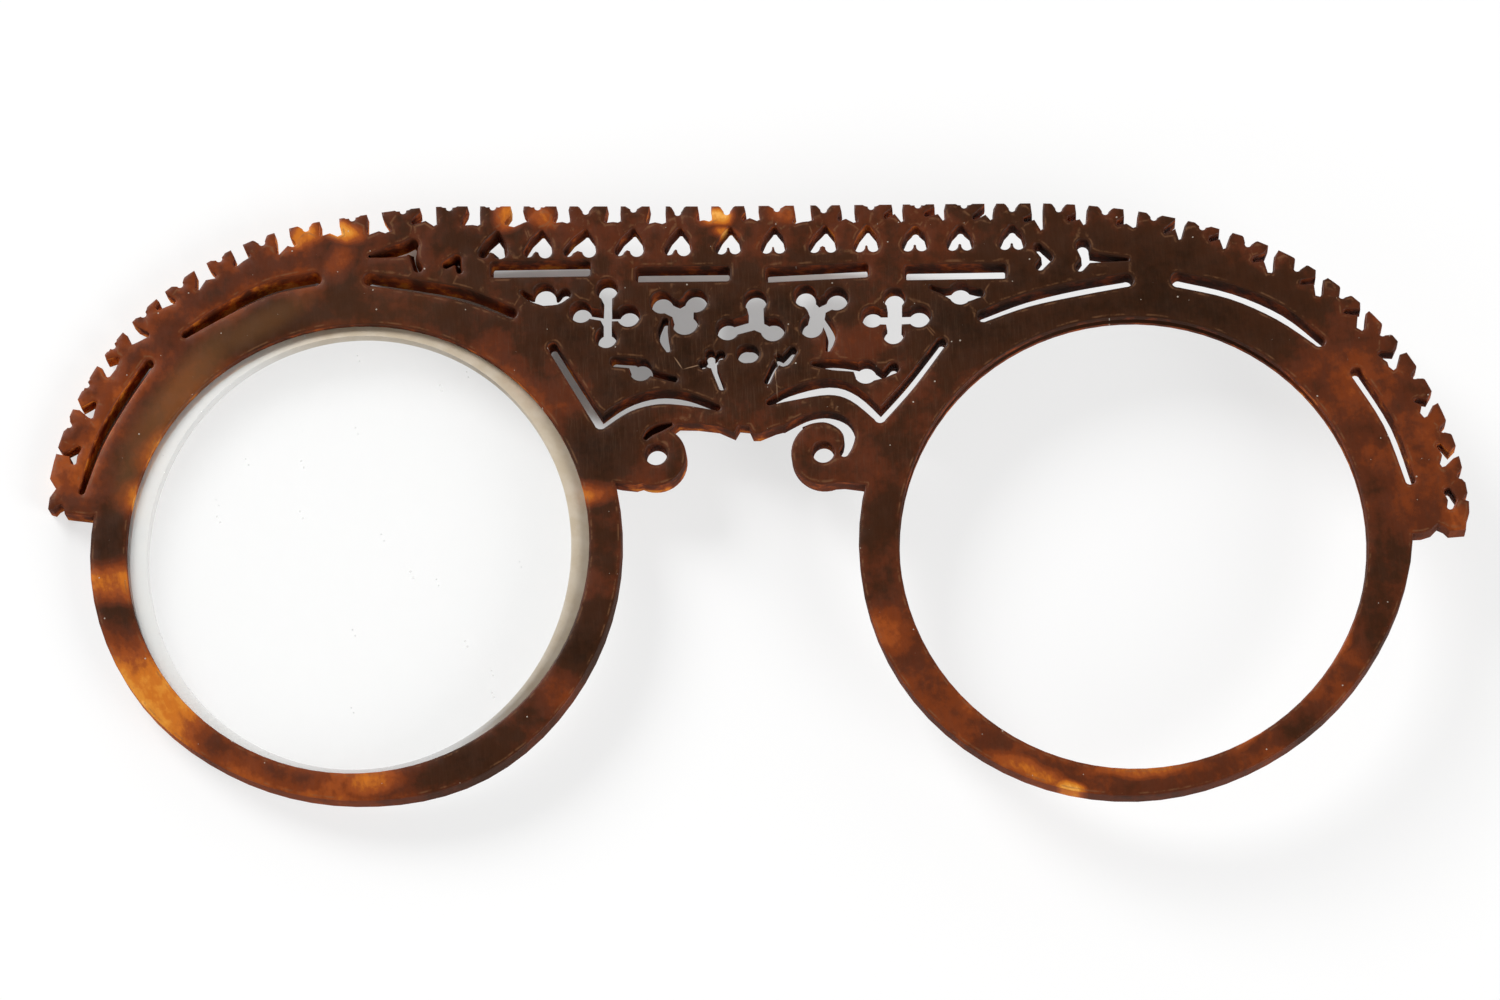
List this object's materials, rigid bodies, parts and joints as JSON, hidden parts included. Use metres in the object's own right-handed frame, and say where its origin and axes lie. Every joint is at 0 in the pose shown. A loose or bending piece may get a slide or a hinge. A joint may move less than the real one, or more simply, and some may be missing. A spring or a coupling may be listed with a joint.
{
  "type": "nose spectacles front",
  "caption": "Flat pierced and notched tortoiseshell front of nose spectacles, with a round lens in its left rim and an empty grooved seat in its right rim.",
  "frame": {"origin": "middle of the bridge, on the flat back face", "axes": "+X to the right eye as the front face is looked at, +Y up towards the crest of the brow, +Z out of the front face"},
  "size_m": [0.1218, 0.0533, 0.0024],
  "materials": {
    "tortoiseshell": "satin polished tortoiseshell, dark brown mottled with red-brown and amber",
    "lens_glass": "clear polished faces with a frosted ground edge"
  },
  "bodies": {
    "root": {"shell_front": "tortoiseshell", "left_lens": "lens_glass"}
  },
  "joints": []
}
